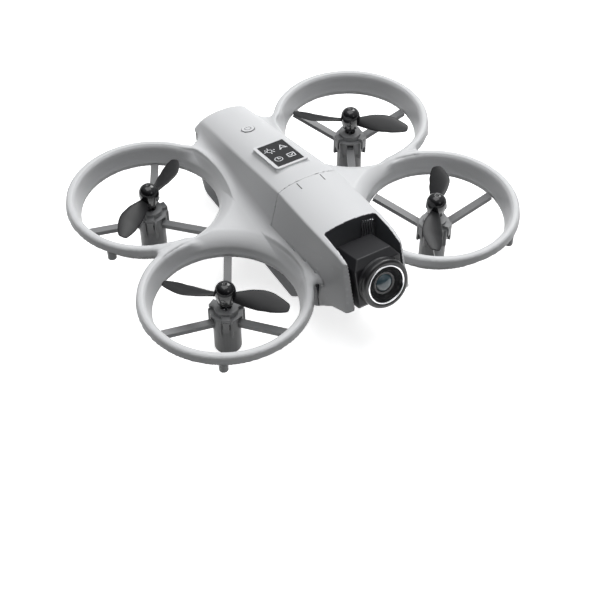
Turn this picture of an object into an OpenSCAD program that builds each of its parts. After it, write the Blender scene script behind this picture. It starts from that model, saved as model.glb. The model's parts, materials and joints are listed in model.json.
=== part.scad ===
// Palm drone with four ducted rotors, a wedge-shaped body and a tilting camera head.
// Millimetres, +Z up. The nose points along -Y. Z = 0 is the face it rests on.
// X = 0 is the middle plane, Y = 0 is midway between the front and the rear rotors.

/* [Guard rings] */
// sideways distance from the middle plane to a rotor axis
rotor_x = 46.1; // [40:0.1:55]
// lengthways distance from the origin to a rotor axis
rotor_y = 30.8; // [26:0.1:38]
// outer radius of a guard ring
ring_r = 32.4; // [28:0.1:36]
// smallest inner radius of a guard ring
duct_r = 26.6; // [22:0.1:30]
// height of the crest of a guard ring
crest_z = 28.2; // [22:0.1:34]

/* [Propellers] */
// radius of the circle the blade tips sweep
blade_r = 24.2; // [18:0.1:26]
// widest chord of a blade
blade_chord = 8.0; // [5:0.1:10]
// blade angle to the rotor plane
blade_pitch = 14; // [5:1:25]
// radius of the hub dome
dome_r = 3.95; // [3:0.05:5]

/* [Motors] */
// radius of a motor can
can_r = 4.0; // [3:0.05:5]
// outer radius of a motor cup
cup_r = 5.15; // [4.6:0.05:6.5]
// radius of a motor shaft
shaft_r = 0.5; // [0.4:0.05:1]

/* [Body] */
// half width of the belly at its lower edge
belly_w = 14.0; // [11:0.1:16]
// height of the joint between the lower shell and the covers
split_z = 27.2; // [22:0.1:30]
// shell wall thickness
wall = 1.4; // [1:0.1:2]
// lengthways position of the seam between the front cover and the rear shell
seam_y = -10.8; // [-20:0.1:0]

/* [Camera] */
// height of the tilt axis
tilt_z = 33.45; // [30:0.05:36]
// lengthways position of the tilt axis
tilt_y = -53.06; // [-56:0.02:-50]
// upward tilt of the camera at rest, degrees
tilt_rest = 18; // [0:1:25]
// outer radius of the lens bezel
bezel_r = 9.3; // [8:0.1:10]
// half width of the camera bay
bay_w = 10.8; // [10:0.1:12]

/* [Hidden] */

// rotor places: [x, y, sign of x, sign of y]
FR = [-rotor_x, -rotor_y];
RR = [-rotor_x, rotor_y];
RL = [rotor_x, rotor_y];
FL = [rotor_x, -rotor_y];

SHELL = [0.86, 0.86, 0.87];
DARK = [0.30, 0.31, 0.33];
GREY = [0.55, 0.56, 0.57];
BLACK = [0.06, 0.06, 0.07];
STEEL = [0.75, 0.76, 0.78];
GREEN = [0.08, 0.25, 0.16];

cap_top_z = 20.2;
spoke_h = 1.8;
dome_z = 27.9;
cavity_z = 21.4;
deck_z = 20.3;
screen_y = 8.6;
screen_z = 43.75;
screen_slope = -10.6;
button_y = 34.2;
button_z = 38.1;
button_slope = -13;
eps = 0.02;

// section of the body covers, looking along Y: [y, w0, z0, wb, zb, we, ze, ws, zs, zc]
REAR = [
    [-10.8, 16.1, 27.2, 12.4, 44.4, 8.5, 46.0, 46.6],
    [17, 15.8, 27.2, 11.4, 38.8, 7.8, 41.0, 41.7],
    [34, 15.2, 27.2, 10.7, 35.4, 7.2, 37.5, 38.2],
    [50, 14.0, 27.2, 10.1, 32.2, 7.0, 33.8, 34.4],
    [55, 12.9, 27.2, 9.6, 31.0, 6.6, 32.0, 32.5],
    [58.5, 11.2, 27.2, 8.4, 29.0, 6.0, 29.8, 30.2],
    [60.5, 9.4, 27.2, 7.5, 27.7, 5.5, 28.0, 28.2]
];
FRONT = [
    [-11.1, 16.1, 27.2, 12.4, 44.4, 8.5, 46.0, 46.6],
    [-31.5, 15.9, 27.2, 12.8, 45.3, 9.0, 47.4, 48.0],
    [-42.5, 15.4, 27.2, 12.8, 46.1, 10.8, 47.6, 48.5],
    [-50.5, 15.0, 27.2, 12.4, 46.1, 10.9, 47.8, 48.2],
    [-56, 14.6, 27.2, 12.1, 45.0, 11.0, 46.0, 46.3],
    [-59.8, 14.0, 27.2, 11.9, 43.0, 11.1, 43.4, 43.6],
    [-62.4, 12.4, 27.2, 11.5, 39.2, 11.1, 39.5, 39.6]
];
BELLY = [
    [57.5, 11.4, 9.0, 11.6],
    [55, 12.6, 5.8, 13.0],
    [49, 13.9, 0.6, 14.2],
    [47, belly_w, 0, 14.3],
    [-22, belly_w, 0, 15.8],
    [-29.5, 14.1, 6.3, 15.7],
    [-40.6, 14.1, 10.5, 15.4],
    [-42.9, 14.0, 13.4, 15.35]
];

// solid through a list of sections, each [y, [[x, z], ...]]
module loft(sections) {
    n = len(sections[0][1]);
    m = len(sections);
    pts = [for (s = sections) for (p = s[1]) [p[0], s[0], p[1]]];
    lower = [for (i = [0:m - 2]) for (j = [0:n - 1]) [i * n + j, (i + 1) * n + j, i * n + (j + 1) % n]];
    upper = [for (i = [0:m - 2]) for (j = [0:n - 1])
        [(i + 1) * n + j, (i + 1) * n + (j + 1) % n, i * n + (j + 1) % n]];
    front = [for (j = [0:n - 1]) j];
    back = [for (j = [n - 1:-1:0]) (m - 1) * n + j];
    polyhedron(points = pts, faces = concat(lower, upper, [front, back]), convexity = 6);
}

function cover_section(s, d, low) = [s[0], [
    [-(s[1] - d), low], [-(s[1] - d), s[2]], [-(s[3] - d), s[4] - d * 0.5], [-(s[5] - d * 0.4), s[6] - d],
    [0, s[7] - d], [s[5] - d * 0.4, s[6] - d], [s[3] - d, s[4] - d * 0.5], [s[1] - d, s[2]],
    [s[1] - d, low]]];
function belly_section(s, d, top) = [s[0], [
    [-(s[1] - d), s[2] + d], [-(s[3] - d), top], [s[3] - d, top], [s[1] - d, s[2] + d]]];
function flip(list) = [for (i = [len(list) - 1:-1:0]) list[i]];

module at_rotor(place) {
    translate([place[0], place[1], 0]) children();
}

// side outline in the Y-Z plane, run across the body
module across(half) {
    rotate([90, 0, 90])
        linear_extrude(2 * half, center = true)
            children();
}

module ring_profile() {
    polygon([
        [ring_r - 0.1, crest_z - 3.5], [ring_r - 0.7, crest_z - 0.8], [ring_r - 1.2, crest_z - 0.25],
        [ring_r - 1.9, crest_z], [ring_r - 2.7, crest_z], [ring_r - 3.5, crest_z - 0.3],
        [ring_r - 4.1, crest_z - 0.9], [ring_r - 4.5, crest_z - 2.4], [duct_r + 0.6, crest_z - 5.5],
        [duct_r + 0.05, crest_z - 7.4], [duct_r, crest_z - 9.4], [duct_r + 0.6, crest_z - 9.4],
        [duct_r + 1.3, crest_z - 7.0], [ring_r - 3.7, crest_z - 4.0], [ring_r - 3.2, crest_z - 2.0],
        [ring_r - 2.5, crest_z - 1.2], [ring_r - 1.9, crest_z - 1.3], [ring_r - 1.4, crest_z - 2.2],
        [ring_r - 1.1, crest_z - 3.5]]);
}

module guard_ring(place) {
    at_rotor(place)
        rotate_extrude($fn = 96)
            ring_profile();
}

module web_plan() {
    difference() {
        union() {
            polygon([[-15.5, -36], [-15.5, 44], [-22, 38], [-46, 4], [-55.5, 5.5], [-58.4, 0], [-55.5, -5.5],
                [-46, -4], [-24, -34]]);
        }
        translate([-rotor_x, -rotor_y]) circle(r = ring_r - 3.4, $fn = 96);
        translate([-rotor_x, rotor_y]) circle(r = ring_r - 3.4, $fn = 96);
    }
}

module web() {
    translate([0, 0, crest_z - 1.8])
        linear_extrude(1.5)
            web_plan();
}

module rear_solid(d) {
    loft([for (s = REAR) cover_section(s, d, split_z)]);
}

module front_solid(d) {
    loft(flip([for (s = FRONT) cover_section(s, d, 12)]));
}

module screen_place() {
    translate([0, screen_y, screen_z])
        rotate([screen_slope, 0, 0])
            children();
}

module button_place() {
    translate([0, button_y, button_z])
        rotate([button_slope, 0, 0])
            children();
}

module pad_plan(grow) {
    offset_r = 1.5;
    for (sx = [-1, 1]) {
        for (sy = [-1, 1]) {
            translate([sx * (7 - offset_r), sy * (9.8 - offset_r)])
                circle(r = offset_r + grow, $fn = 32);
        }
    }
    square([14 + 2 * grow, 19.6 - 2 * offset_r], center = true);
    square([14 - 2 * offset_r, 19.6 + 2 * grow], center = true);
}

module upper_shell() color(SHELL) {
    difference() {
        union() {
            difference() {
                union() {
                    guard_ring(FR);
                    guard_ring(RR);
                    guard_ring(RL);
                    guard_ring(FL);
                    web();
                    mirror([1, 0, 0]) web();
                }
                // room for the lower shell and the front cover
                translate([-15.9, -70, 10]) cube([31.8, 140, split_z - 10 + eps]);
                translate([-16.25, -70, 10]) cube([32.5, 70 + seam_y - 0.1, 30]);
                // the rings stay clear of each other's ducts
                at_rotor(FR) translate([0, 0, 10]) cylinder(r = duct_r, h = 30, $fn = 96);
                at_rotor(RR) translate([0, 0, 10]) cylinder(r = duct_r, h = 30, $fn = 96);
                at_rotor(RL) translate([0, 0, 10]) cylinder(r = duct_r, h = 30, $fn = 96);
                at_rotor(FL) translate([0, 0, 10]) cylinder(r = duct_r, h = 30, $fn = 96);
            }
            rear_solid(0);
        }
        // hollow under the rear cover
        loft([for (s = REAR) [s[0] - 1.6, cover_section(s, wall, split_z - 1)[1]]]);
        translate([-(16.1 - wall), seam_y - 1, split_z - 1]) cube([2 * (16.1 - wall), 1, 30]);
        screen_place() translate([0, 0, -3]) linear_extrude(10) pad_plan(0.05);
        button_place() translate([0, 0, -4]) cylinder(r = 2.7, h = 10, $fn = 48);
    }
}

module front_side() {
    polygon([[seam_y - 0.3, split_z], [-43.0, split_z], [-43.0, 13.6], [-46.3, 17.0], [-51.8, 21.5],
        [-61.5, 25.7], [-62.4, 27.5], [-62.4, 39.4], [-60.7, 42.8], [-56, 46.2], [-50, 48.6],
        [-40, 49.5], [seam_y - 0.3, 49.5]]);
}

module front_cover() color(SHELL) {
    difference() {
        intersection() {
            front_solid(0);
            across(20) front_side();
        }
        // hollow behind the camera bay
        intersection() {
            loft(flip([for (s = FRONT) cover_section(s, wall, 12)]));
            translate([-20, -39, split_z - 1]) cube([40, 40, 30]);
        }
        // camera bay, open at the front, the top and below
        translate([-bay_w, -70, 10]) cube([2 * bay_w, 29.6, 45]);
        // slot for the flex cable and bearings for the tilt pins
        translate([2, -42, 36.5]) cube([7, 5, 1.2]);
        translate([-13.2, tilt_y, tilt_z]) rotate([0, 90, 0]) cylinder(r = 1.55, h = 26.4, $fn = 48);
    }
}

module belly_solid(d, top) {
    loft(flip([for (s = BELLY) belly_section(s, d, top)]));
}

module lower_shell() color(DARK) {
    difference() {
        union() {
            difference() {
                loft(flip([for (s = BELLY) belly_section(s, 0, split_z)]));
                // electronics space above the battery deck
                intersection() {
                    loft(flip([for (s = BELLY) belly_section(s, wall, split_z + 1)]));
                    translate([-20, -41.5, cavity_z]) cube([40, 97.3, 20]);
                }
            }
            for (sx = [-1, 1]) {
                for (y = [-30, 36]) {
                    translate([sx * 9.5, y, cavity_z - eps]) cylinder(r = 1.8, h = 1.6 + eps, $fn = 32);
                }
            }
        }
        // battery bay, open at the rear
        translate([-12.6, -21, wall]) cube([25.2, 90, deck_z - wall]);
        for (sx = [-1, 1]) {
            for (y = [-30, 36]) {
                translate([sx * 9.5, y, cavity_z - 0.8]) cylinder(r = 0.7, h = 4, $fn = 32);
            }
        }
        // socket, optical sensor and screw holes
        translate([-4.6, 54, 22.4]) cube([9.2, 6, 3.4]);
        translate([0, -33, 3]) cylinder(r = 2.6, h = 14, $fn = 48);
    }
}

module display_pad() color(SHELL) {
    difference() {
        screen_place() translate([0, 0, -1.4]) linear_extrude(1.9) pad_plan(0);
        screen_place() translate([-5.65, -8.55, -0.3]) cube([11.3, 17.1, 3]);
    }
}

module display_window() color(BLACK) {
    screen_place() translate([-5.6, -8.5, -0.3]) cube([11.2, 17.0, 0.75]);
}

module power_button() color(SHELL) {
    button_place() translate([0, 0, -2.2]) cylinder(r = 2.5, h = 2.4, $fn = 48);
}

module button_switch() color(BLACK) {
    button_place() translate([-2.2, -2.2, -6.2]) cube([4.4, 4.4, 3.2]);
    translate([-2.4, button_y - 5.6, 24.2]) cube([4.8, 6, 7.2]);
}

module main_board() color(GREEN) {
    difference() {
        translate([-12.2, -38, 23]) cube([24.4, 88, 1.2]);
        for (sx = [-1, 1]) {
            for (y = [-30, 36]) {
                translate([sx * 9.5, y, 22]) cylinder(r = 0.85, h = 4, $fn = 32);
            }
        }
    }
}

module board_screws() color(STEEL) {
    for (sx = [-1, 1]) {
        for (y = [-30, 36]) {
            translate([sx * 9.5, y, 20.7]) cylinder(r = 0.68, h = 3.6, $fn = 32);
            translate([sx * 9.5, y, 24.2]) cylinder(r = 1.5, h = 0.8, $fn = 32);
        }
    }
}

module usb_socket() color(STEEL) {
    difference() {
        translate([-4.5, 50.2, 22.5]) cube([9, 7.2, 3.2]);
        translate([-4.1, 51.2, 22.9]) cube([8.2, 8, 2.4]);
    }
}

module flow_lens() color(BLACK) {
    translate([0, -33, 7.4]) cylinder(r = 2.5, h = 8.4, $fn = 48);
}

module mount_turn(k) {
    rotate([0, 0, 60 + 120 * k]) children();
}

module motor_mount(place, flip_x) color(GREY) {
    at_rotor(place) mirror([flip_x, 0, 0]) {
        difference() {
            union() {
                cylinder(r = cup_r, h = 13, $fn = 64);
                translate([0, 0, 12]) cylinder(r = 6.0, h = 5.9, $fn = 64);
                for (k = [0:2]) {
                    // spoke, rising from the cup to the lower edge of the duct
                    mount_turn(k) translate([4.6, -1.5, 13.1]) rotate([0, -14, 0])
                        cube([22.55, 3.0, spoke_h]);
                    // ribs on both sides of the clip
                    for (sy = [-1, 1]) {
                        mount_turn(k + 0.5) translate([4.6, sy * 2.2 - 0.4, 9.8]) cube([1.75, 0.8, 8.0]);
                    }
                }
            }
            translate([0, 0, 1.0]) cylinder(r = can_r + 0.05, h = 20, $fn = 64);
            // clip windows and lead slot
            for (k = [0:2]) {
                mount_turn(k + 0.5) translate([3.5, -1.4, 13.6]) cube([4, 2.8, 2.6]);
                mount_turn(k) translate([3.5, -1.3, 15.7]) cube([4, 2.6, 1.6]);
            }
            rotate([0, 0, 60]) translate([3, -1.1, 5]) cube([4, 2.2, 5.5]);
        }
    }
}

module motor_cap(place, flip_x) color(GREY) {
    at_rotor(place) mirror([flip_x, 0, 0]) {
        difference() {
            union() {
                translate([0, 0, 17.95]) cylinder(r = 4.5, h = cap_top_z - 17.95, $fn = 64);
                for (k = [0:2]) {
                    mount_turn(k + 0.5) translate([3.6, -1.6, 17.95]) cube([2.9, 3.2, 1.3]);
                    mount_turn(k + 0.5) translate([6.05, -1.2, 13.9]) cube([0.6, 2.4, 4.1]);
                }
            }
            translate([0, 0, 17]) cylinder(r = 2.2, h = 6, $fn = 48);
        }
    }
}

module motor(place) color(STEEL) {
    at_rotor(place) {
        difference() {
            translate([0, 0, 1.0]) cylinder(r = can_r, h = 16.95, $fn = 64);
            translate([0, 0, 9]) cylinder(r = shaft_r + 0.05, h = 12, $fn = 32);
        }
    }
}

module motor_shaft(place) color(STEEL) {
    at_rotor(place) translate([0, 0, 9.5]) cylinder(r = shaft_r, h = 19, $fn = 32);
}

module blade_plan() {
    hull() {
        translate([3.0, 0]) circle(r = 1.5, $fn = 32);
        translate([11.5, 0.6]) circle(r = blade_chord / 2, $fn = 48);
        translate([blade_r - 2.2, 0.4]) circle(r = 1.9, $fn = 32);
    }
}

module propeller(place, angle) color(BLACK) {
    at_rotor(place) rotate([0, 0, angle]) {
        difference() {
            union() {
                for (k = [0, 180]) {
                    rotate([0, 0, k]) translate([0, 0, 25.6]) rotate([blade_pitch, 0, 0])
                        translate([0, 0, -0.5]) linear_extrude(1.0) blade_plan();
                }
                rotate_extrude($fn = 64) intersection() {
                    translate([0, dome_z]) circle(r = dome_r, $fn = 64);
                    translate([0, 23.4]) square([dome_r, 10]);
                }
                translate([0, 0, 22.6]) cylinder(r = 2.4, h = 2.6, $fn = 48);
            }
            translate([0, 0, 22]) cylinder(r = shaft_r + 0.01, h = 6.6, $fn = 32);
        }
    }
}

module ring_foot(place, angle) color(GREY) {
    at_rotor(place) rotate([0, 0, angle])
        translate([ring_r - 1.8, 0, 20.8]) cylinder(r = 1.7, h = crest_z - 3.5 - 20.8, $fn = 32);
}

module battery_side() {
    polygon([[-20.6, 1.8], [46.6, 1.8], [54.6, 6.8], [57.6, 10.6], [57.8, 19.9], [-20.6, 19.9]]);
}

module battery_case() color(DARK) {
    difference() {
        across(12.25) battery_side();
        across(11.2) polygon([[-19.4, 3.0], [46, 3.0], [46, 18.8], [-19.4, 18.8]]);
        translate([-7.1, -22, 8]) cube([14.2, 4, 5.1]);
    }
}

module battery_cell() color(STEEL) {
    translate([-11.1, -15.2, 3.05]) cube([22.2, 60, 15.7]);
}

module battery_contacts() color([0.85, 0.68, 0.3]) {
    for (i = [-2:2]) {
        translate([i * 2.8 - 0.9, -20.6, 8.1]) cube([1.8, 5.3, 4.9]);
    }
}

module camera_place() {
    translate([0, tilt_y, tilt_z])
        rotate([-tilt_rest, 0, 0])
            children();
}

module along_lens(y0) {
    translate([0, y0, 0]) rotate([90, 0, 0]) children();
}

module head_plan() {
    polygon([[-9.4, -8.6], [9.4, -8.6], [9.4, 6.8], [6.9, 10.6], [-6.9, 10.6], [-9.4, 6.8]]);
}

module camera_housing() color(BLACK) {
    camera_place() {
        difference() {
            union() {
                intersection() {
                    along_lens(8.0) linear_extrude(16.5) head_plan();
                    across(12) polygon([[8, -5], [5.5, -8.6], [-7, -8.6], [-8.5, -7], [-8.5, 7.4], [-6.6, 10.6],
                        [4.0, 10.6], [8, 7.4]]);
                }
                along_lens(-8.0) cylinder(r = bezel_r - 0.5, h = 1.8, $fn = 64);
            }
            across(8.2) polygon([[6.6, -7.2], [-6.5, -7.2], [-6.5, 7.4], [6.6, 7.4]]);
            along_lens(-6) cylinder(r = 5.0, h = 6, $fn = 64);
            rotate([0, 90, 0]) translate([0, 0, -12]) cylinder(r = 1.0, h = 24, $fn = 32);
        }
    }
}

module lens_bezel() color(BLACK) {
    camera_place() along_lens(-9.8) difference() {
        cylinder(r = bezel_r, h = 3.0, $fn = 96);
        translate([0, 0, -1]) cylinder(r = 5.8, h = 6, $fn = 96);
        translate([0, 0, 2.4]) cylinder(r = 7.4, h = 2, $fn = 96);
    }
}

module lens_trim_ring() color(STEEL) {
    camera_place() along_lens(-12.2) difference() {
        cylinder(r = 7.35, h = 0.7, $fn = 96);
        translate([0, 0, -1]) cylinder(r = 6.75, h = 4, $fn = 96);
    }
}

module lens_window() color([0.1, 0.13, 0.15, 0.4]) {
    camera_place() along_lens(-12.2) cylinder(r = 6.7, h = 0.5, $fn = 96);
}

module lens_cell() color(BLACK) {
    camera_place() along_lens(-2) difference() {
        cylinder(r = 4.9, h = 9.2, $fn = 64);
        translate([0, 0, 7.7]) cylinder(r = 3.4, h = 3, $fn = 64);
    }
}

module sensor_board() color(GREEN) {
    camera_place() translate([-7.4, -1.9, -6.4]) cube([14.8, 1.0, 12.8]);
}

module tilt_pin(side) color(STEEL) {
    camera_place() rotate([0, 90, 0])
        translate([0, 0, side > 0 ? 8.25 : -13.0]) union() {
            translate([0, 0, side > 0 ? 1.25 : 0]) cylinder(r = 1.5, h = 3.5, $fn = 48);
            translate([0, 0, 0]) cylinder(r = 1.0, h = 4.75, $fn = 32);
        }
}

module tilt_motor() color(STEEL) {
    translate([-11.6, -38.4, 28]) cube([6.4, 8, 10]);
}

module camera_flex() color([0.72, 0.62, 0.42]) {
    translate([3, -40.6, 36.8]) cube([5, 12, 0.5]);
    translate([3, -29.1, 24.2]) cube([5, 0.5, 13.1]);
}

upper_shell();
front_cover();
lower_shell();
display_pad();
display_window();
power_button();
button_switch();
main_board();
board_screws();
usb_socket();
flow_lens();
motor_mount(FR, 0);  // motor_mount_fr
motor_mount(RR, 0);  // motor_mount_rr
motor_mount(RL, 1);  // motor_mount_rl
motor_mount(FL, 1);  // motor_mount_fl
motor_cap(FR, 0);  // motor_cap_fr
motor_cap(RR, 0);  // motor_cap_rr
motor_cap(RL, 1);  // motor_cap_rl
motor_cap(FL, 1);  // motor_cap_fl
motor(FR);  // motor_fr
motor(RR);  // motor_rr
motor(RL);  // motor_rl
motor(FL);  // motor_fl
motor_shaft(FR);  // shaft_fr
motor_shaft(RR);  // shaft_rr
motor_shaft(RL);  // shaft_rl
motor_shaft(FL);  // shaft_fl
propeller(FR, 135);  // propeller_fr
propeller(RR, 37);  // propeller_rr
propeller(RL, 138);  // propeller_rl
propeller(FL, 53);  // propeller_fl
ring_foot(FR, 240);  // ring_foot_fr
ring_foot(RR, 216);  // ring_foot_rr
ring_foot(RL, 324);  // ring_foot_rl
ring_foot(FL, 300);  // ring_foot_fl
battery_case();
battery_cell();
battery_contacts();
camera_housing();
lens_bezel();
lens_trim_ring();
lens_window();
lens_cell();
sensor_board();
tilt_pin(1);  // tilt_pin_left
tilt_pin(-1);  // tilt_pin_right
tilt_motor();
camera_flex();
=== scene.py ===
import json
import math

import bpy
import numpy as np
from mathutils import Matrix, Vector


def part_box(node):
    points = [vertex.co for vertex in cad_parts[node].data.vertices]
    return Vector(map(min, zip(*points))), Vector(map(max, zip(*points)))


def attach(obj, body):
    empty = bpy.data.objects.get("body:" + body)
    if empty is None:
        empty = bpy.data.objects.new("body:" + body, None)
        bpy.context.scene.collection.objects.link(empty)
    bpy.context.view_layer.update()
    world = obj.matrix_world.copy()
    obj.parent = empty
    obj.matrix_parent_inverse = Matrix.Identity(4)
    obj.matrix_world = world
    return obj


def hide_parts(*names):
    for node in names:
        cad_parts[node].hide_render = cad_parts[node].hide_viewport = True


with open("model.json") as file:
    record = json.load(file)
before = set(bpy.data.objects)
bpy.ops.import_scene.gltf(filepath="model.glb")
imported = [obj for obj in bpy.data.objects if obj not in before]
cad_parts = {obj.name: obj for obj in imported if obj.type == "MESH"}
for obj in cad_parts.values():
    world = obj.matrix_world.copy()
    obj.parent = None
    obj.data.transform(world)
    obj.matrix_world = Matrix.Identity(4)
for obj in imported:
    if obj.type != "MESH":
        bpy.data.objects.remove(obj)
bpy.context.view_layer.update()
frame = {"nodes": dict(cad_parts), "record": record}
MM = 0.001
record = frame["record"]


def node_box(name):
    low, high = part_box(name)
    return np.array(low) / MM, np.array(high) / MM


# ---------------------------------------------------------------- rotor places, from the joints
ROTORS = ("fr", "rr", "rl", "fl")
SPIN = {}
for joint in record["behaviour"]["joints"]:
    if joint["name"].startswith("rotor_"):
        SPIN[joint["name"].split("_")[1]] = np.array(joint["pos_m"]) / MM
    if joint["name"] == "camera_tilt":
        TILT = np.array(joint["pos_m"]) / MM
RX = abs(SPIN["fr"][0])
RY = abs(SPIN["fr"][1])
SEAM_Y = -10.8
SPLIT = 27.2
TILT_REST = 18.0

# ---------------------------------------------------------------- camera
CAM_AZ, CAM_EL = math.radians(-30.83), math.radians(46.3)
cam_right = Vector((math.cos(CAM_AZ), math.sin(CAM_AZ), 0))
cam_back = Vector((math.sin(CAM_AZ) * math.cos(CAM_EL), -math.cos(CAM_AZ) * math.cos(CAM_EL),
    math.sin(CAM_EL)))
cam_up = cam_back.cross(cam_right)
cam_data = bpy.data.cameras.new("camera")
camera = bpy.data.objects.new("camera", cam_data)
bpy.context.scene.collection.objects.link(camera)
cam_data.sensor_width = 36.0
cam_data.lens = 79.04
cam_data.clip_start = 0.01
cam_data.clip_end = 20.0
spot = Vector((-0.19151, -0.32682, 0.36742))
camera.matrix_world = Matrix((
    (cam_right.x, cam_up.x, cam_back.x, spot.x),
    (cam_right.y, cam_up.y, cam_back.y, spot.y),
    (cam_right.z, cam_up.z, cam_back.z, spot.z),
    (0, 0, 0, 1)))
bpy.context.scene.camera = camera


# ---------------------------------------------------------------- materials
def material(name, color, rough=0.45, metal=0.0, bump=0.0, bump_scale=900.0, rough_var=0.08, mottle=0.03,
             spec=0.5, coat=0.0, edge=0.0, edge_color=None, transmission=0.0, ior=1.46, sheen=0.0):
    mat = bpy.data.materials.new(name)
    mat.use_nodes = True
    nodes, links = mat.node_tree.nodes, mat.node_tree.links
    shader = nodes["Principled BSDF"]
    shader.inputs["Metallic"].default_value = metal
    shader.inputs["Specular IOR Level"].default_value = spec
    shader.inputs["Coat Weight"].default_value = coat
    shader.inputs["Coat Roughness"].default_value = 0.12
    shader.inputs["IOR"].default_value = ior
    shader.inputs["Transmission Weight"].default_value = transmission
    coords = nodes.new("ShaderNodeTexCoord")
    fine = nodes.new("ShaderNodeTexNoise")
    fine.inputs["Scale"].default_value = bump_scale
    fine.inputs["Detail"].default_value = 4.0
    links.new(coords.outputs["Object"], fine.inputs["Vector"])
    wide = nodes.new("ShaderNodeTexNoise")
    wide.inputs["Scale"].default_value = 55.0
    wide.inputs["Detail"].default_value = 5.0
    links.new(coords.outputs["Object"], wide.inputs["Vector"])
    tone = nodes.new("ShaderNodeMix")
    tone.data_type = "RGBA"
    tone.inputs[6].default_value = (*[c * (1 - mottle) for c in color[:3]], 1)
    tone.inputs[7].default_value = (*[min(1, c * (1 + mottle)) for c in color[:3]], 1)
    links.new(wide.outputs["Fac"], tone.inputs[0])
    last = tone.outputs[2]
    # painted highlight: convex edges, found by Pointiness, get a lighter colour for light catching the edges
    if edge > 0:
        geometry = nodes.new("ShaderNodeNewGeometry")
        ramp = nodes.new("ShaderNodeMapRange")
        ramp.inputs["From Min"].default_value = 0.515
        ramp.inputs["From Max"].default_value = 0.60
        ramp.inputs["To Max"].default_value = edge
        links.new(geometry.outputs["Pointiness"], ramp.inputs["Value"])
        edge_highlight = nodes.new("ShaderNodeMix")
        edge_highlight.data_type = "RGBA"
        links.new(ramp.outputs["Result"], edge_highlight.inputs[0])
        links.new(last, edge_highlight.inputs[6])
        edge_highlight.inputs[7].default_value = (*(edge_color or [min(1, c * 1.3 + 0.03) for c in color[:3]]), 1)
        last = edge_highlight.outputs[2]
    links.new(last, shader.inputs["Base Color"])
    spread = nodes.new("ShaderNodeMapRange")
    spread.inputs["To Min"].default_value = max(0.02, rough - rough_var)
    spread.inputs["To Max"].default_value = min(1.0, rough + rough_var)
    links.new(fine.outputs["Fac"], spread.inputs["Value"])
    links.new(spread.outputs["Result"], shader.inputs["Roughness"])
    if bump > 0:
        relief = nodes.new("ShaderNodeBump")
        relief.inputs["Strength"].default_value = bump
        relief.inputs["Distance"].default_value = 0.0001
        links.new(fine.outputs["Fac"], relief.inputs["Height"])
        links.new(relief.outputs["Normal"], shader.inputs["Normal"])
    return mat


MATS = {
    "shell_white": material("shell_white", (0.60, 0.604, 0.612), 0.42, bump=0.25, bump_scale=2600,
        mottle=0.012, spec=0.42, edge=0.25),
    "shell_dark": material("shell_dark", (0.085, 0.088, 0.098), 0.5, bump=0.3, bump_scale=2600, mottle=0.05,
        edge=0.3),
    "mount_grey": material("mount_grey", (0.17, 0.172, 0.175), 0.4, bump=0.25, bump_scale=2200, mottle=0.05,
        edge=0.5),
    "propeller_black": material("propeller_black", (0.010, 0.010, 0.011), 0.44, bump=0.2, bump_scale=2400,
        mottle=0.1, spec=0.4),
    "dome_black": material("dome_black", (0.008, 0.008, 0.009), 0.16, bump=0.02, bump_scale=1500,
        rough_var=0.04, mottle=0.05, coat=0.4),
    "display_black": material("display_black", (0.006, 0.006, 0.007), 0.1, bump=0.0, rough_var=0.03,
        mottle=0.05, coat=0.5),
    "baffle_black": material("baffle_black", (0.003, 0.003, 0.0035), 0.6, bump=0.0, mottle=0.05, spec=0.15),
    "mark_grey": material("mark_grey", (0.22, 0.22, 0.23), 0.5, bump=0.0, mottle=0.01),
    "icon_white": material("icon_white", (0.85, 0.86, 0.88), 0.5, bump=0.0, mottle=0.01),
    "switch_black": material("switch_black", (0.02, 0.02, 0.02), 0.5, bump=0.2, mottle=0.05),
    "board_green": material("board_green", (0.02, 0.11, 0.06), 0.35, bump=0.3, bump_scale=1200, mottle=0.15),
    "screw_steel": material("screw_steel", (0.55, 0.55, 0.57), 0.3, metal=1.0, bump=0.1, bump_scale=1800,
        mottle=0.05),
    "lens_black": material("lens_black", (0.006, 0.006, 0.008), 0.2, bump=0.0, rough_var=0.05, mottle=0.05,
        coat=0.3),
    # painted shade: the steel motor can is given a dark grey colour for the shade inside the collar windows
    "can_steel": material("can_steel", (0.20, 0.20, 0.21), 0.28, metal=1.0, bump=0.12, bump_scale=1500,
        mottle=0.06),
    "flex_amber": material("flex_amber", (0.42, 0.26, 0.07), 0.35, bump=0.2, bump_scale=1400, mottle=0.1),
    "flex_silver": material("flex_silver", (0.42, 0.43, 0.45), 0.35, metal=0.5, bump=0.2, bump_scale=1400,
        mottle=0.1),
    "cell_foil": material("cell_foil", (0.55, 0.56, 0.58), 0.3, metal=0.9, bump=0.5, bump_scale=260,
        mottle=0.06),
    "contact_brass": material("contact_brass", (0.80, 0.58, 0.22), 0.28, metal=1.0, bump=0.05, mottle=0.05),
    "camera_black": material("camera_black", (0.018, 0.018, 0.02), 0.42, bump=0.25, bump_scale=2400,
        mottle=0.08, edge=0.5, edge_color=(0.07, 0.07, 0.075)),
    "bezel_black": material("bezel_black", (0.012, 0.012, 0.013), 0.3, bump=0.08, bump_scale=2400,
        mottle=0.05, coat=0.15),
    "trim_silver": material("trim_silver", (0.80, 0.80, 0.82), 0.2, metal=1.0, bump=0.05, bump_scale=2000,
        mottle=0.02),
    # partly the coating's own blue tint, partly a painted highlight: the base colour is raised to give the
    # bluish highlight at the lens centre
    "lens_coat": material("lens_coat", (0.05, 0.11, 0.14), 0.08, bump=0.0, rough_var=0.03, mottle=0.2,
        coat=1.0),
}


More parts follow.
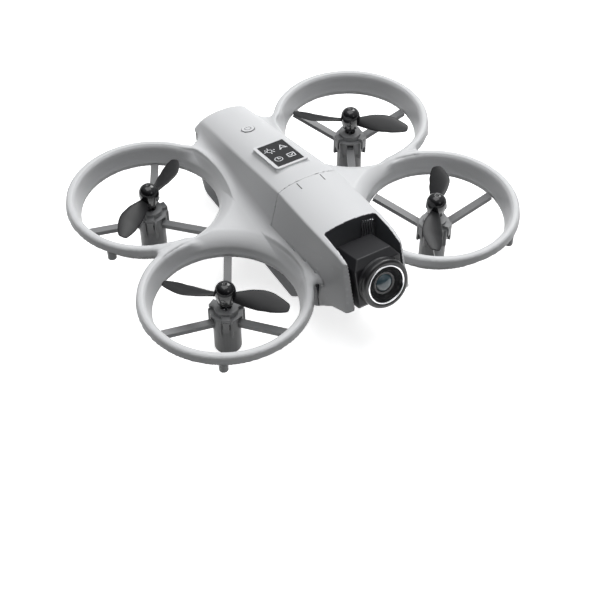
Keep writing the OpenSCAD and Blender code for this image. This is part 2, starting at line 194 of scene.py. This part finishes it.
def glass_material():
    mat = bpy.data.materials.new("lens_glass")
    mat.use_nodes = True
    nodes, links = mat.node_tree.nodes, mat.node_tree.links
    shader = nodes["Principled BSDF"]
    shader.inputs["Base Color"].default_value = (0.01, 0.015, 0.02, 1)
    shader.inputs["Alpha"].default_value = 0.12
    shader.inputs["IOR"].default_value = 1.45
    coords = nodes.new("ShaderNodeTexCoord")
    noise = nodes.new("ShaderNodeTexNoise")
    noise.inputs["Scale"].default_value = 400.0
    spread = nodes.new("ShaderNodeMapRange")
    spread.inputs["To Min"].default_value = 0.01
    spread.inputs["To Max"].default_value = 0.05
    links.new(coords.outputs["Object"], noise.inputs["Vector"])
    links.new(noise.outputs["Fac"], spread.inputs["Value"])
    links.new(spread.outputs["Result"], shader.inputs["Roughness"])
    return mat


MATS["lens_glass"] = glass_material()
SLOT = {s["node"]: s["material_slot"] for s in record["subparts"]}


def dress(obj, key):
    obj.data.materials.clear()
    obj.data.materials.append(MATS[key])


for name, obj in frame["nodes"].items():
    dress(obj, SLOT[name])


# ---------------------------------------------------------------- solids from distance fields
def smin(a, b, k):
    h = np.clip(0.5 + 0.5 * (b - a) / k, 0.0, 1.0)
    return b * (1 - h) + a * h - k * h * (1 - h)


def smax(a, b, k):
    return -smin(-a, -b, k)


def polygon_distance(px, py, points):
    pts = np.asarray(points, float)
    nxt = np.roll(pts, -1, 0)
    best = np.full(px.shape, 1e9)
    sign = np.ones(px.shape)
    for (ax, ay), (bx, by) in zip(pts, nxt):
        ex, ey = bx - ax, by - ay
        wx, wy = px - ax, py - ay
        t = np.clip((wx * ex + wy * ey) / (ex * ex + ey * ey), 0, 1)
        dx, dy = wx - ex * t, wy - ey * t
        best = np.minimum(best, dx * dx + dy * dy)
        c1, c2, c3 = py >= ay, py < by, ex * wy > ey * wx
        flip = (c1 & c2 & c3) | (~c1 & ~c2 & ~c3)
        sign = np.where(flip, -sign, sign)
    return sign * np.sqrt(best)


def box_distance(x, y, z, cx, cy, cz, hx, hy, hz, r=0.0):
    dx, dy, dz = abs(x - cx) - hx + r, abs(y - cy) - hy + r, abs(z - cz) - hz + r
    out = np.sqrt(np.maximum(dx, 0) ** 2 + np.maximum(dy, 0) ** 2 + np.maximum(dz, 0) ** 2)
    return out + np.minimum(np.maximum(dx, np.maximum(dy, dz)), 0) - r


def table(ys, values, width=6.0):
    """A smooth curve through rough stations along the body."""
    dense = np.arange(-90, 90.01, 0.25)
    raw = np.interp(dense, ys, values)
    n = max(1, int(width / 0.25))
    kernel = np.hanning(n + 2)[1:-1]
    padded = np.pad(raw, (n, n), mode="edge")
    smooth = np.convolve(padded, kernel / kernel.sum(), mode="same")[n:-n]
    return lambda y: np.interp(y, dense, smooth)


def surface_nets(f, low, h):
    inside = f < 0
    corners = [inside[i:f.shape[0] - 1 + i, j:f.shape[1] - 1 + j, k:f.shape[2] - 1 + k]
               for i in (0, 1) for j in (0, 1) for k in (0, 1)]
    total = sum(c.astype(np.int8) for c in corners)
    cells = np.argwhere((total > 0) & (total < 8))
    number = np.full(total.shape, -1, np.int64)
    number[cells[:, 0], cells[:, 1], cells[:, 2]] = np.arange(len(cells))
    offs = [(i, j, k) for i in (0, 1) for j in (0, 1) for k in (0, 1)]
    values = np.stack([f[cells[:, 0] + i, cells[:, 1] + j, cells[:, 2] + k] for i, j, k in offs], 1)
    summed, count = np.zeros((len(cells), 3)), np.zeros(len(cells))
    for a in range(8):
        for b in range(a + 1, 8):
            if sum(abs(p - q) for p, q in zip(offs[a], offs[b])) != 1:
                continue
            va, vb = values[:, a], values[:, b]
            crossing = (va < 0) != (vb < 0)
            t = np.where(crossing, va / np.where(va == vb, 1, va - vb), 0)
            point = np.array(offs[a]) + t[:, None] * (np.array(offs[b]) - np.array(offs[a]))
            summed += np.where(crossing[:, None], point, 0)
            count += crossing
    verts = np.array(low) + h * (cells + summed / count[:, None])
    quads = []
    for axis in range(3):
        u, v = (axis + 1) % 3, (axis + 2) % 3
        here = [slice(1, n - 1) for n in f.shape]
        here[axis] = slice(0, f.shape[axis] - 1)
        there = list(here)
        there[axis] = slice(1, f.shape[axis])
        change = inside[tuple(here)] != inside[tuple(there)]
        spots = np.argwhere(change)
        for ax in (u, v):
            spots[:, ax] += 1
        start = inside[spots[:, 0], spots[:, 1], spots[:, 2]]

        def cell(du, dv):
            c = spots.copy()
            c[:, u] += du
            c[:, v] += dv
            return number[c[:, 0], c[:, 1], c[:, 2]]
        ring = np.stack([cell(-1, -1), cell(0, -1), cell(0, 0), cell(-1, 0)], 1)
        ring = np.where(start[:, None], ring, ring[:, ::-1])
        quads.append(ring[(ring >= 0).all(1)])
    return verts, np.concatenate(quads)


def gradient(field, p, e=0.04):
    g = np.empty_like(p)
    for axis in range(3):
        step = np.zeros(3)
        step[axis] = e
        a, b = p + step, p - step
        g[:, axis] = (field(a[:, 0], a[:, 1], a[:, 2]) - field(b[:, 0], b[:, 1], b[:, 2])) / (2 * e)
    return g


def field_shape(field, low, high, h, mirrored=False):
    """Vertices, faces and normals of the surface where the field is zero, in millimetres."""
    low, high = np.array(low, float), np.array(high, float)
    if mirrored:
        half = int(np.ceil(-low[0] / h - 0.5))
        xs = -h * (np.arange(half + 1)[::-1] + 0.5)
    else:
        xs = np.arange(low[0], high[0] + h, h)
    ys, zs = np.arange(low[1], high[1] + h, h), np.arange(low[2], high[2] + h, h)
    yy, zz = np.meshgrid(ys, zs, indexing="ij")
    f = np.stack([field(np.full(yy.shape, x), yy, zz) for x in xs])
    if mirrored:
        f = np.concatenate([f, f[::-1]])
    verts, quads = surface_nets(f, (xs[0], ys[0], zs[0]), h)
    for _ in range(3):
        value = field(verts[:, 0], verts[:, 1], verts[:, 2])
        g = gradient(field, verts)
        size = np.maximum((g * g).sum(1), 0.2)
        step = -(value / size)[:, None] * g
        length = np.linalg.norm(step, axis=1, keepdims=True)
        verts = verts + step * np.minimum(1, 0.5 * h / np.maximum(length, 1e-9))
    g = gradient(field, verts, 0.08)
    normals = g / np.maximum(np.linalg.norm(g, axis=1, keepdims=True), 1e-9)
    return verts, quads, normals


def add_mesh(name, verts, faces, mat, normals=None, smooth=True):
    """A mesh object from millimetre vertices."""
    mesh = bpy.data.meshes.new(name)
    mesh.from_pydata((np.asarray(verts) * MM).tolist(), [], [tuple(int(i) for i in q) for q in faces])
    mesh.polygons.foreach_set("use_smooth", [smooth] * len(mesh.polygons))
    if normals is not None:
        mesh.normals_split_custom_set_from_vertices(np.asarray(normals).tolist())
    mesh.update()
    obj = bpy.data.objects.new(name, mesh)
    bpy.context.scene.collection.objects.link(obj)
    mesh.materials.append(MATS[mat])
    return obj


def place(obj, body, slot, *nodes):
    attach(obj, body)
    if nodes:
        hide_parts(*nodes)
    return obj


# ---------------------------------------------------------------- body surfaces
STATIONS = [-62.6, -60.9, -57, -50.5, -42.5, -31.5, -10.8, 17, 34, 50, 54, 58, 61]
edge_z = table(STATIONS, [39.6, 42.3, 45.0, 46.2, 46.3, 45.6, 44.4, 38.8, 35.4, 32.2, 31.4, 30.6, 30.0], 5)
edge_w = table(STATIONS, [11.5, 11.6, 12.0, 12.5, 12.8, 12.8, 12.4, 11.4, 10.75, 10.15, 10.0, 9.8, 9.7], 5)
crown = table(STATIONS, [0.2, 0.5, 1.2, 1.9, 2.2, 2.4, 2.35, 2.9, 2.7, 2.3, 2.1, 1.9, 1.8], 8)
base_w = table(STATIONS, [14.9, 15.0, 15.0, 15.2, 15.5, 15.9, 16.1, 14.8, 13.9, 13.4, 13.3, 13.2, 13.0], 8)
crease_z = table([-62, -56, -45, -30, -18, 60], [42.5, 42.6, 40.5, 36.0, 27.2, 27.2], 8)
low_z = table([-60, -42.9, -40.6, -29.5, -22.5, 46.5, 49, 55, 58.5],
    [20, 13.4, 11.0, 6.3, 0, 0, 0.9, 5.8, 10.5], 2.5)
low_w = table([-60, -43, -29.5, -22, 47, 49, 55, 58.5], [14.0, 14.0, 14.1, 14.0, 14.0, 13.8, 12.6, 11.2], 4)
rim_w = table([-60, -43, -29.5, -22, 47, 49, 55, 58.5], [15.2, 15.35, 15.7, 15.8, 14.3, 14.1, 13.0, 11.5], 4)


def top_distance(x, y, z):
    share = np.minimum(np.abs(x) / edge_w(y), 1.3)
    return (z - edge_z(y) - crown(y) * (1 - share ** 2.3)) / 1.04


def flank_distance(x, y, z):
    ze, we, wb, zk = edge_z(y), edge_w(y), base_w(y), crease_z(y)
    slope = (wb - we) / (ze - SPLIT)
    width = we + slope * (ze - z)
    kink = np.clip(zk - z, 0, 30) * 0.10 * np.clip((-y - 18) / 20, 0, 1)
    return (np.abs(x) - width + kink) / np.sqrt(1 + slope ** 2)


def rear_distance(x, y, z):
    return (y - (59.6 - 0.40 * (z - SPLIT) - 0.008 * x * x - 0.00002 * x ** 4)) / 1.08


def body_field(x, y, z):
    side = smax(flank_distance(x, y, z), top_distance(x, y, z), 0.5)
    return smax(side, rear_distance(x, y, z), 1.8)


RING = [(32.3, 24.75), (31.9, 27.3), (31.6, 27.75), (31.0, 28.08), (30.2, 28.18), (29.4, 28.05),
    (28.75, 27.65),
        (28.3, 27.0), (28.0, 26.0), (27.65, 24.2), (27.2, 22.2), (26.85, 20.95), (26.72, 20.6),
        (26.66, 18.85),
        (27.3, 18.85), (27.9, 21.2), (28.7, 24.2), (29.2, 26.2), (29.9, 27.0), (30.5, 26.9), (31.0, 26.0),
        (31.3, 24.75)]
DUCT = [(0, 10), (26.66, 10), (26.66, 20.6), (26.85, 20.95), (27.2, 22.2), (27.65, 24.2), (28.0, 26.0),
    (28.3, 27.0),
        (28.75, 27.65), (29.1, 27.9), (29.25, 28.6), (29.0, 60), (0, 60)]
FLARE = [(0, 10), (26.66, 10), (26.66, 20.6)] + [
    (38.0 - 11.1 * math.cos(0.0628 * k), 21.4 + 7.1 * math.sin(0.0628 * k)) for k in range(26)] + [
    (44, 28.7), (44, 60), (0, 60)]
WEB = [(57.9, 0), (55.5, 4.5), (52, 3.0), (46, 3.5), (30, 44), (24, 48), (18.5, 48.5), (14.5, 51), (11, 53),
    (11, -46),
       (17, -41), (24, -33), (46, -3.5), (52, -3.0), (55.5, -4.5)]


def frame_field(x, y, z):
    ax, ay = np.abs(x), np.abs(y)
    r = np.hypot(ax - RX, ay - RY)
    ring = polygon_distance(r, z, RING)
    plan = polygon_distance(ax, y, WEB)
    plate = smax(plan, np.abs(z - 25.9) - 1.75, 1.6)
    shell = body_field(x, y, z)
    ly, lz = (y - 8.6) * 0.98294 - (z - 43.75) * 0.18395, (y - 8.6) * 0.18395 + (z - 43.75) * 0.98294
    shell = smin(shell, box_distance(x, ly, lz, 0, 0, -1.4, 7.15, 9.95, 1.5, 1.2), 0.9)
    solid = smin(smin(ring, plate, 2.2), smax(shell, 24.2 - z, 1.0),
        np.interp(y, [-30, 15, 40], [4.4, 3.6, 2.4]))
    solid = np.maximum(solid, 18.85 - z)
    share = np.clip(-plan / 6.0, 0, 1)
    share = share * share * (3 - 2 * share) * np.clip((ax - 16.4) / 3.2, 0, 1)
    duct = (1 - share) * polygon_distance(r, z, DUCT) + share * polygon_distance(r, z, FLARE)
    solid = smax(solid, -duct, 0.5)
    hollow = np.maximum(body_field(x, y, z) + 1.4, seam_low - z)
    along, up = (y - 34.2) * 0.97437 - (z - 38.1) * 0.224951, (y - 34.2) * 0.224951 + (z - 38.1) * 0.97437
    hollow = np.minimum(hollow, np.maximum(np.hypot(x, along) - 2.72, np.abs(up) - 3))
    solid = np.maximum(solid, -hollow)
    tub = np.maximum(ax - 15.95, z - SPLIT - 0.02)
    solid = np.maximum(solid, -tub)
    nose = np.maximum(shell - 0.04, y - SEAM_Y + 0.12)
    solid = np.maximum(solid, -nose)
    return solid


seam_low = 20.0
verts, quads, normals = field_shape(frame_field, (-78.6, -63.5, 18.0), (78.6, 63.5, 48.5), 0.5, mirrored=True)
shell = add_mesh("frame_shell", verts, quads, "shell_white", normals)
place(shell, "airframe", "shell_white", "upper_shell")


# ---------------------------------------------------------------- front cover
CHEEK_SIDE = [(-10.93, 27.22), (-43.0, 27.22), (-43.0, 13.8), (-46.3, 17.1), (-51.8, 21.6), (-60.9, 25.75),
              (-61.9, 27.0), (-62.3, 28.6), (-62.35, 39.2), (-61.7, 41.2), (-60.5, 42.7), (-58, 70),
              (-10.93, 70)]
BAY_HALF = 10.8


def cover_field(x, y, z):
    outer = body_field(x, y, z)
    low = np.abs(x) - base_w(y) + 0.12 * np.maximum(SPLIT - z, 0)
    outer = np.maximum(outer, np.where(z < SPLIT + 0.5, low, -9))
    facet = 0.688 * (np.abs(x) - 12.2) - 0.691 * (y + 56) + 0.223 * (z - 43.4)
    outer = smax(outer, facet, 0.35)
    outer = smax(outer, polygon_distance(y, z, CHEEK_SIDE), 0.5)
    inner = np.maximum(np.maximum(body_field(x, y, z) + 1.4, -39.0 - y), SPLIT - 1 - z)
    solid = np.maximum(outer, -inner)
    bay = box_distance(x, y, z, 0, -70, 30, BAY_HALF, 29.6, 60, 0.8)
    return smax(solid, -bay, 0.3)


verts, quads, normals = field_shape(cover_field, (-17.2, -63.6, 12.6), (17.2, -9.4, 50.2), 0.42,
    mirrored=True)
centres = verts[quads].mean(1)
in_bay = ((np.abs(centres[:, 0]) < BAY_HALF + 0.25) & (centres[:, 1] < -40.2)
          & (np.abs(normals[quads].mean(1)[:, 2]) < 0.6))
for label, chosen, key in (("cover_shell", ~in_bay, "shell_white"), ("cover_bay", in_bay, "shell_dark")):
    used, faces = np.unique(quads[chosen], return_inverse=True)
    piece = add_mesh(label, verts[used], faces.reshape(-1, 4), key, normals[used])
    place(piece, "airframe", key, "front_cover")


# ---------------------------------------------------------------- lower shell
BAY_ROOF = node_box("battery_case")[1][2] + 0.35


def lower_field(x, y, z):
    ax = np.abs(x)
    rise = np.clip((z - low_z(y)) / np.maximum(SPLIT - low_z(y), 1), 0, 1)
    half = low_w(y) + (np.minimum(rim_w(y), base_w(y) - 0.2) - low_w(y)) * rise
    body = smax(ax - half, (low_z(y) - z) / 1.3, 1.6)
    body = smax(body, z - (SPLIT - 0.12), 0.2)
    body = smax(body, y - (58.3 - 0.004 * x * x), 1.2)
    body = np.maximum(body, -42.8 - y)
    groove = np.maximum(np.abs(z - 24.6) - 0.3, -0.35 - body)
    body = np.maximum(body, -groove)
    bay = box_distance(x, y, z, 0, 34, (1.4 + BAY_ROOF) / 2, 12.6, 55, (BAY_ROOF - 1.4) / 2, 0.3)
    room = np.maximum(np.maximum(ax - half + 1.4, 21.4 - z), np.maximum(-41.5 - y, y - 56.5))
    sensor = np.maximum(np.hypot(x, y + 33) - 2.6, z - 17)
    return np.maximum(np.maximum(body, -bay), np.maximum(-room, -sensor))


verts, quads, normals = field_shape(lower_field, (-17.2, -44.2, -0.6), (17.2, 59.6, 28.2), 0.5, mirrored=True)
place(add_mesh("belly_shell", verts, quads, "shell_dark", normals), "airframe", "shell_dark", "lower_shell")


# ---------------------------------------------------------------- small helpers
def soften(obj, width, segments=2, angle=35):
    mod = obj.modifiers.new("bevel", "BEVEL")
    mod.width = width * MM
    mod.segments = segments
    mod.limit_method = "ANGLE"
    mod.angle_limit = math.radians(angle)
    mod.harden_normals = False
    return mod


def turned(profile, count=64, start=0.0):
    """A turned surface about +Z from (radius, height) pairs, outline listed from one end to the other."""
    verts, rows = [], []
    for r, h in profile:
        if r < 1e-6:
            rows.append([len(verts)] * count)
            verts.append((0, 0, h))
        else:
            rows.append(list(range(len(verts), len(verts) + count)))
            for i in range(count):
                a = start + 2 * math.pi * i / count
                verts.append((r * math.cos(a), r * math.sin(a), h))
    faces = []
    for lower, upper in zip(rows, rows[1:]):
        for i in range(count):
            j = (i + 1) % count
            quad = [lower[i], lower[j], upper[j], upper[i]]
            face = []
            for q in quad:
                if q not in face:
                    face.append(q)
            if len(face) > 2:
                faces.append(face)
    return np.array(verts, float), faces


def flipped(faces):
    return [list(reversed(f)) for f in faces]


def around_x(degrees):
    c, s = math.cos(math.radians(degrees)), math.sin(math.radians(degrees))
    return np.array([[1, 0, 0], [0, c, -s], [0, s, c]])


def around_z(degrees):
    c, s = math.cos(math.radians(degrees)), math.sin(math.radians(degrees))
    return np.array([[c, -s, 0], [s, c, 0], [0, 0, 1]])


def line_art(lines, width, z0, z1):
    """Thin raised strokes along polylines, for marks on a surface."""
    verts, faces = [], []
    for line in lines:
        for (ax, ay), (bx, by) in zip(line, line[1:]):
            length = math.hypot(bx - ax, by - ay)
            ux, uy = (bx - ax) / length, (by - ay) / length
            px, py = -uy * width / 2, ux * width / 2
            ex, ey = ux * width / 2, uy * width / 2
            base = len(verts)
            for z in (z0, z1):
                verts += [(ax - ex + px, ay - ey + py, z), (ax - ex - px, ay - ey - py, z),
                          (bx + ex - px, by + ey - py, z), (bx + ex + px, by + ey + py, z)]
            faces += [[base + 4, base + 5, base + 6, base + 7], [base + 3, base + 2, base + 1, base]]
            faces += [[base + i, base + (i + 1) % 4, base + 4 + (i + 1) % 4, base + 4 + i] for i in range(4)]
    return np.array(verts, float), faces


def arc(cx, cy, r, a0, a1, n=20):
    return [(cx + r * math.cos(math.radians(a0 + (a1 - a0) * i / n)),
             cy + r * math.sin(math.radians(a0 + (a1 - a0) * i / n))) for i in range(n + 1)]


# ---------------------------------------------------------------- display, button and marks
screen_low, screen_high = node_box("display_window")
SCREEN = np.array([0, (screen_low[1] + screen_high[1]) / 2, 43.75])
icons = [arc(-2.7, 3.6, 1.0, 0, 360), [(-2.7, 5.2), (-2.7, 5.7)], [(-2.7, 2.0), (-2.7, 1.5)],
    [(-4.3, 3.6), (-4.8, 3.6)],
         [(-1.1, 3.6), (-0.6, 3.6)], [(-3.8, 4.7), (-4.1, 5.0)], [(-1.6, 2.5), (-1.3, 2.2)],
         [(1.2, 2.2), (2.7, 5.2), (4.2, 2.2), (2.7, 3.2), (1.2, 2.2)],
         arc(-2.7, -3.6, 1.5, 0, 360), [(-2.7, -3.6), (-2.7, -2.6)], [(-2.7, -3.6), (-2.0, -3.6)],
         [(1.3, -5.0), (4.1, -5.0), (4.1, -2.4), (1.3, -2.4), (1.3, -5.0)],
         [(2.0, -3.7), (2.6, -4.3), (3.5, -3.1)]]
verts, faces = line_art(icons, 0.32, 0.455, 0.485)
art = add_mesh("display_icons", verts @ around_x(-10.6).T + SCREEN, faces, "icon_white", smooth=False)
place(art, "airframe", "display_black")

mark = [arc(0, 0, 1.25, 125, 415), [(0, 0.7), (0, 1.6)]]
verts, faces = line_art(mark, 0.3, 0.2, 0.225)
BUTTON = np.array([0, 34.2, 38.1])
art = add_mesh("button_mark", verts @ around_x(-13).T + BUTTON, faces, "mark_grey", smooth=False)
place(art, "power_button", "switch_black")
verts, faces = line_art([arc(0, 0, 2.6, 0, 360, 48)], 0.16, 0.0, 0.1)
art = add_mesh("button_gap", verts @ around_x(-13).T + BUTTON, faces, "mark_grey", smooth=False)
place(art, "airframe", "switch_black")

for side in (-1, 1):
    line = []
    for y in np.linspace(-12.1, -15.6, 9):
        line.append((side * 5.0, y))
    vs, fs = line_art([line], 0.34, 0, 1)
    top = np.array([edge_z(v[1]) + crown(v[1]) * (1 - min(abs(v[0]) / edge_w(v[1]), 1.3) ** 2.3) for v in vs])
    vs[:, 2] = top + np.where(vs[:, 2] > 0.5, 0.035, -0.2)
    art = add_mesh("tick_" + ("left" if side < 0 else "right"), vs, fs, "switch_black", smooth=False)
    place(art, "airframe", "switch_black")

for name in ("display_pad", "display_window", "power_button"):
    soften(frame["nodes"][name], 0.35 if name == "display_pad" else 0.12, 3)
for name in ("battery_case", "usb_socket", "flow_lens"):
    soften(frame["nodes"][name], 0.5 if name == "battery_case" else 0.15, 3, 25)
for place_name in ROTORS:
    soften(frame["nodes"]["motor_mount_" + place_name], 0.28, 3, 30)
    soften(frame["nodes"]["motor_cap_" + place_name], 0.25, 3, 30)
    soften(frame["nodes"]["ring_foot_" + place_name], 0.7, 4, 30)
    soften(frame["nodes"]["motor_" + place_name], 0.2, 2, 30)


# ---------------------------------------------------------------- propellers
def blade(segments=22, around=16):
    """One blade along +X about the shaft, twisted, in millimetres, the plane of the disc at z = 0."""
    tip = 24.1
    stations = [2.2 + (tip - 2.2) * (i / segments) ** 0.92 for i in range(segments + 1)]
    rows = []
    for s in stations:
        t = (s - 2.2) / (tip - 2.2)
        chord = np.interp(t, [0, 0.12, 0.3, 0.5, 0.7, 0.86, 0.96, 1.0],
            [3.4, 5.0, 7.4, 8.7, 8.1, 6.0, 4.1, 2.9])
        angle = math.radians(np.interp(t, [0, 0.3, 1], [30, 24, 11]))
        thick = np.interp(t, [0, 0.2, 0.6, 1], [1.5, 1.05, 0.7, 0.32])
        shift = np.interp(t, [0, 0.3, 0.6, 1], [0, 0.7, 0.9, -0.6])
        row = []
        for k in range(around):
            a = 2 * math.pi * k / around
            u = 0.5 * chord * math.cos(a)
            w = (0.5 * thick * math.sin(a) * (1 + 0.35 * math.cos(a))
                 + 0.055 * chord * (1 - (2 * u / chord) ** 2))
            row.append((s, shift + u * math.cos(angle) - w * math.sin(angle),
                u * math.sin(angle) + w * math.cos(angle)))
        rows.append(row)
    verts = [p for row in rows for p in row]
    faces = []
    for i in range(segments):
        for k in range(around):
            j = (k + 1) % around
            faces.append([i * around + k, i * around + j, (i + 1) * around + j, (i + 1) * around + k])
    faces.append(list(range(around))[::-1])
    faces.append([segments * around + k for k in range(around)])
    return np.array(verts, float), faces


DISC_Z = 25.7
HUB = [(0.52, 22.7), (2.9, 22.7), (3.15, 22.95), (3.35, 24.0), (3.68, 25.5), (3.9, 26.6), (3.98, 27.4),
       (3.93, 28.3), (3.72, 29.25), (3.3, 30.15), (2.7, 30.85), (1.95, 31.4), (1.1, 31.72), (0.55, 31.8),
       (0.5, 31.62), (0.0, 31.6)]
for name in ROTORS:
    spin = SPIN[name]
    turn = {"fr": 135, "rr": 37, "rl": 138, "fl": 53}[name]
    vb, fb = blade()
    if name in ("rr", "fl"):
        vb, fb = vb * np.array([1, -1, 1]), flipped(fb)
    base = spin * np.array([1, 1, 0]) + np.array([0, 0, DISC_Z])
    allv, allf = [], []
    for k in (0, 180):
        off = sum(len(v) for v in allv)
        allv.append(vb @ around_z(turn + k).T + base)
        allf += [[i + off for i in f] for f in fb]
    blades = add_mesh("blades_" + name, np.concatenate(allv), allf, "propeller_black")
    blades.modifiers.new("smooth", "SUBSURF").render_levels = 1
    place(blades, "rotor_" + name, "propeller_black", "propeller_" + name)
    vh, fh = turned(HUB, 72)
    hub = add_mesh("hub_" + name, vh + spin * np.array([1, 1, 0]), fh, "dome_black")
    place(hub, "rotor_" + name, "propeller_black", "propeller_" + name)
    # a raised grey oval ring on both sides of the dome
    # painted highlight: the grey ring on each side of the dome stands for light on the rim of the hole there
    for k in (90, 270):
        ringv, ringf = [], []
        for i in range(28):
            a = 2 * math.pi * i / 28
            for b in range(6):
                c = 2 * math.pi * b / 6
                rr = 1 + 0.13 * math.cos(c)
                ringv.append((0.13 * math.sin(c), 1.05 * rr * math.cos(a), 0.8 * rr * math.sin(a)))
            for b in range(6):
                n = (i + 1) % 28
                ringf.append([i * 6 + b, n * 6 + b, n * 6 + (b + 1) % 6, i * 6 + (b + 1) % 6])
        ringv = np.array(ringv)
        lean = math.radians(8)
        ry = np.array([[math.cos(lean), 0, math.sin(lean)], [0, 1, 0], [-math.sin(lean), 0, math.cos(lean)]])
        ringv = ringv @ ry.T + np.array([3.86, 0, 26.2])
        ringv = ringv @ around_z(turn + k).T + spin * np.array([1, 1, 0])
        rim = add_mesh("hub_eye_%s_%d" % (name, k), ringv, ringf, "mount_grey")
        place(rim, "rotor_" + name, "propeller_black")

# ---------------------------------------------------------------- camera head
def at_camera(verts):
    """From (x, y, depth) about the lens axis to the shared frame, at the rest tilt."""
    v = np.asarray(verts, float)
    local = np.stack([v[:, 0], -v[:, 2], v[:, 1]], 1)
    return local @ around_x(-TILT_REST).T + TILT


def lens_piece(name, profile, key, slot, *nodes, count=96):
    v, f = turned(profile, count)
    obj = add_mesh(name, at_camera(v), f, key)
    return place(obj, "camera_head", slot, *nodes)


lens_piece("bezel_ring", [(7.45, 12.05), (7.45, 12.55), (7.6, 12.72), (8.0, 12.8), (8.7, 12.72),
    (9.05, 12.5), (9.25, 12.1),
                          (9.3, 11.6), (9.3, 10.7), (9.15, 10.45), (9.3, 10.2), (9.3, 9.9), (9.1, 9.75),
                          (8.4, 9.7),
                          (5.9, 9.7), (5.9, 12.05)][::-1] + [(7.45, 12.05)], "bezel_black", "bezel_black",
                          "lens_bezel")
lens_piece("silver_ring", [(6.78, 12.1), (7.42, 12.1), (7.42, 12.7), (7.3, 12.86), (7.05, 12.9),
    (6.85, 12.8), (6.78, 12.6),
                           (6.78, 12.1)], "trim_silver", "trim_silver", "lens_trim_ring")
lens_piece("baffle", [(6.75, 12.5), (6.3, 12.35), (5.6, 12.2), (5.55, 11.9), (4.9, 11.7), (4.85, 11.4),
    (4.2, 11.2),
                      (4.15, 10.9), (3.6, 10.8), (3.5, 10.2)], "baffle_black", "lens_black")
lens_piece("front_element", [(3.5, 10.6), (3.3, 11.15), (2.8, 11.65), (2.1, 12.0), (1.3, 12.22),
    (0.6, 12.3), (0, 12.32)],
           "lens_coat", "lens_black")
lens_piece("cover_glass", [(6.7, 12.3), (6.7, 12.55), (5.5, 12.68), (4.0, 12.78), (2.0, 12.84), (0, 12.86)],
           "lens_glass", "lens_glass", "lens_window")
HEAD_PLAN = [(-9.4, -8.6), (9.4, -8.6), (9.4, 6.9), (6.9, 10.6), (-6.9, 10.6), (-9.4, 6.9)]
HEAD_SIDE = [(8.6, -5.5), (6, -8.6), (-7, -8.6), (-8.5, -7), (-8.5, 7.2), (-6.6, 10.6), (6.2, 10.6),
    (8.5, 8.0)]


def head_field(x, y, z):
    return smax(polygon_distance(x, z, HEAD_PLAN), polygon_distance(y, z, HEAD_SIDE), 0.45)


verts, quads, normals = field_shape(head_field, (-10.4, -9.4, -9.4), (10.4, 9.6, 11.6), 0.4)
head = add_mesh("head_shell", verts @ around_x(-TILT_REST).T + TILT, quads, "camera_black",
                normals @ around_x(-TILT_REST).T)
place(head, "camera_head", "camera_black", "camera_housing")
lens_piece("head_neck", [(8.0, 8.2), (8.9, 8.4), (9.05, 8.7), (9.0, 9.2), (8.75, 9.5), (8.7, 9.8)],
    "camera_black",
           "camera_black", "camera_housing")
for name in ("lens_cell", "sensor_board", "tilt_motor", "tilt_pin_left", "tilt_pin_right"):
    soften(frame["nodes"][name], 0.12, 2, 30)

# folded flex at the rear of the bay
for i in range(5):
    across = 5.4 + i * 0.85
    pts = []
    for k in range(9):
        h = 37.6 + k * 1.02
        pts.append((across + 0.25 * math.sin(k * 0.8), h))
    vs, fs = line_art([pts], 0.34, 0, 0.5)
    vs = np.stack([vs[:, 0], -40.6 - vs[:, 2] - 0.25 * i, vs[:, 1]], 1)
    place(add_mesh("flex_fold_%d" % i, vs, flipped(fs), "flex_silver", smooth=False), "airframe",
        "flex_amber")
dress(frame["nodes"]["camera_flex"], "switch_black")


# ---------------------------------------------------------------- stage
floor_mesh = bpy.data.meshes.new("floor")
span = 3.0
floor_mesh.from_pydata([(-span, -span, 0), (span, -span, 0), (span, span, 0), (-span, span, 0)], [],
    [(0, 1, 2, 3)])
floor = bpy.data.objects.new("floor", floor_mesh)
bpy.context.scene.collection.objects.link(floor)
floor.data.materials.append(material("floor_paper", (0.97, 0.97, 0.97), 0.9, bump=0.0, mottle=0.002,
    spec=0.1))
floor.location.z = -0.0002
paper = floor.data.materials[0].node_tree.nodes["Principled BSDF"]
paper.inputs["Emission Color"].default_value = (1, 1, 1, 1)
paper.inputs["Emission Strength"].default_value = 0.75
floor.visible_diffuse = False


def area_light(name, at, target, size, power, color=(1, 1, 1), size_y=None):
    data = bpy.data.lights.new(name, "AREA")
    data.shape = "RECTANGLE"
    data.size = size
    data.size_y = size_y or size
    data.energy = power
    data.color = color
    obj = bpy.data.objects.new(name, data)
    obj.location = at
    obj.rotation_euler = (Vector(target) - Vector(at)).to_track_quat("-Z", "Y").to_euler()
    bpy.context.scene.collection.objects.link(obj)
    return obj


area_light("key", (0.85, 0.55, 1.0), (0, 0, 0.02), 0.7, 9.5)
area_light("top", (0.0, 0.2, 1.5), (0, 0, 0.02), 1.4, 13)
area_light("glint", (0.25, -1.1, 0.75), (0, -0.05, 0.03), 0.35, 0.5)

world = bpy.data.worlds.new("world")
bpy.context.scene.world = world
world.use_nodes = True
nodes, links = world.node_tree.nodes, world.node_tree.links
coords = nodes.new("ShaderNodeTexCoord")
toward = nodes.new("ShaderNodeVectorMath")
toward.operation = "DOT_PRODUCT"
toward.inputs[1].default_value = (0.42, 0.28, 0.86)
links.new(coords.outputs["Generated"], toward.inputs[0])
glow = nodes.new("ShaderNodeMapRange")
glow.interpolation_type = "SMOOTHSTEP"
glow.inputs["From Min"].default_value = -0.05
glow.inputs["From Max"].default_value = 0.9
glow.inputs["To Min"].default_value = 0.015
glow.inputs["To Max"].default_value = 0.55
links.new(toward.outputs["Value"], glow.inputs["Value"])
world.node_tree.nodes["Background"].inputs["Color"].default_value = (0.96, 0.98, 1.0, 1)
links.new(glow.outputs["Result"], nodes["Background"].inputs["Strength"])
bpy.context.scene.view_settings.view_transform = "Standard"
